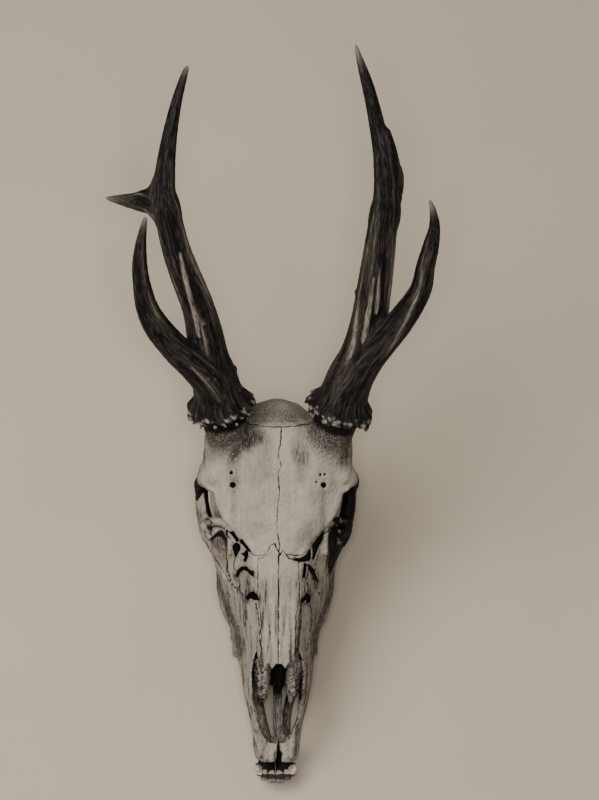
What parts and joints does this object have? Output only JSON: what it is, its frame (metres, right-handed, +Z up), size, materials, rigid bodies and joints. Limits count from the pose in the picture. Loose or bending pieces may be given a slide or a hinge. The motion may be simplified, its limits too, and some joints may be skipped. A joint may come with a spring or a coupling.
{
  "type": "roe deer skull",
  "caption": "Old roe buck's skull with its lower jaw in place and ridged, branching antlers on coarse burrs, resting on the jaw.",
  "frame": {"origin": "on the table under the middle of the bounding box", "axes": "+X to the skull's own right as seen from the front (the viewer's right), +Y from the nose to the back of the head, +Z up from the table"},
  "size_m": [0.1752, 0.3108, 0.2787],
  "materials": {
    "bone": "dry matte bone, pale grey ivory with darker grain and seams",
    "toothed_bone": "dry matte bone with worn, slightly glossy teeth",
    "antler": "dark brown ridged antler, satin, with pale polished tips"
  },
  "bodies": {
    "root": {"nasal_left": "bone", "nasal_right": "bone", "premaxilla_left": "bone", "premaxilla_right": "bone", "cheekbone_left": "bone", "cheekbone_right": "bone", "frontal_left": "bone", "frontal_right": "bone", "maxilla_left": "toothed_bone", "maxilla_right": "toothed_bone", "braincase": "bone", "mandible_left": "toothed_bone", "mandible_right": "toothed_bone", "antler_left_beam": "antler", "antler_left_top_tine": "antler", "antler_left_front_tine": "antler", "antler_left_rear_tine": "antler", "antler_right_beam": "antler", "antler_right_top_tine": "antler", "antler_right_front_tine": "antler", "antler_right_rear_tine": "antler"}
  },
  "joints": []
}
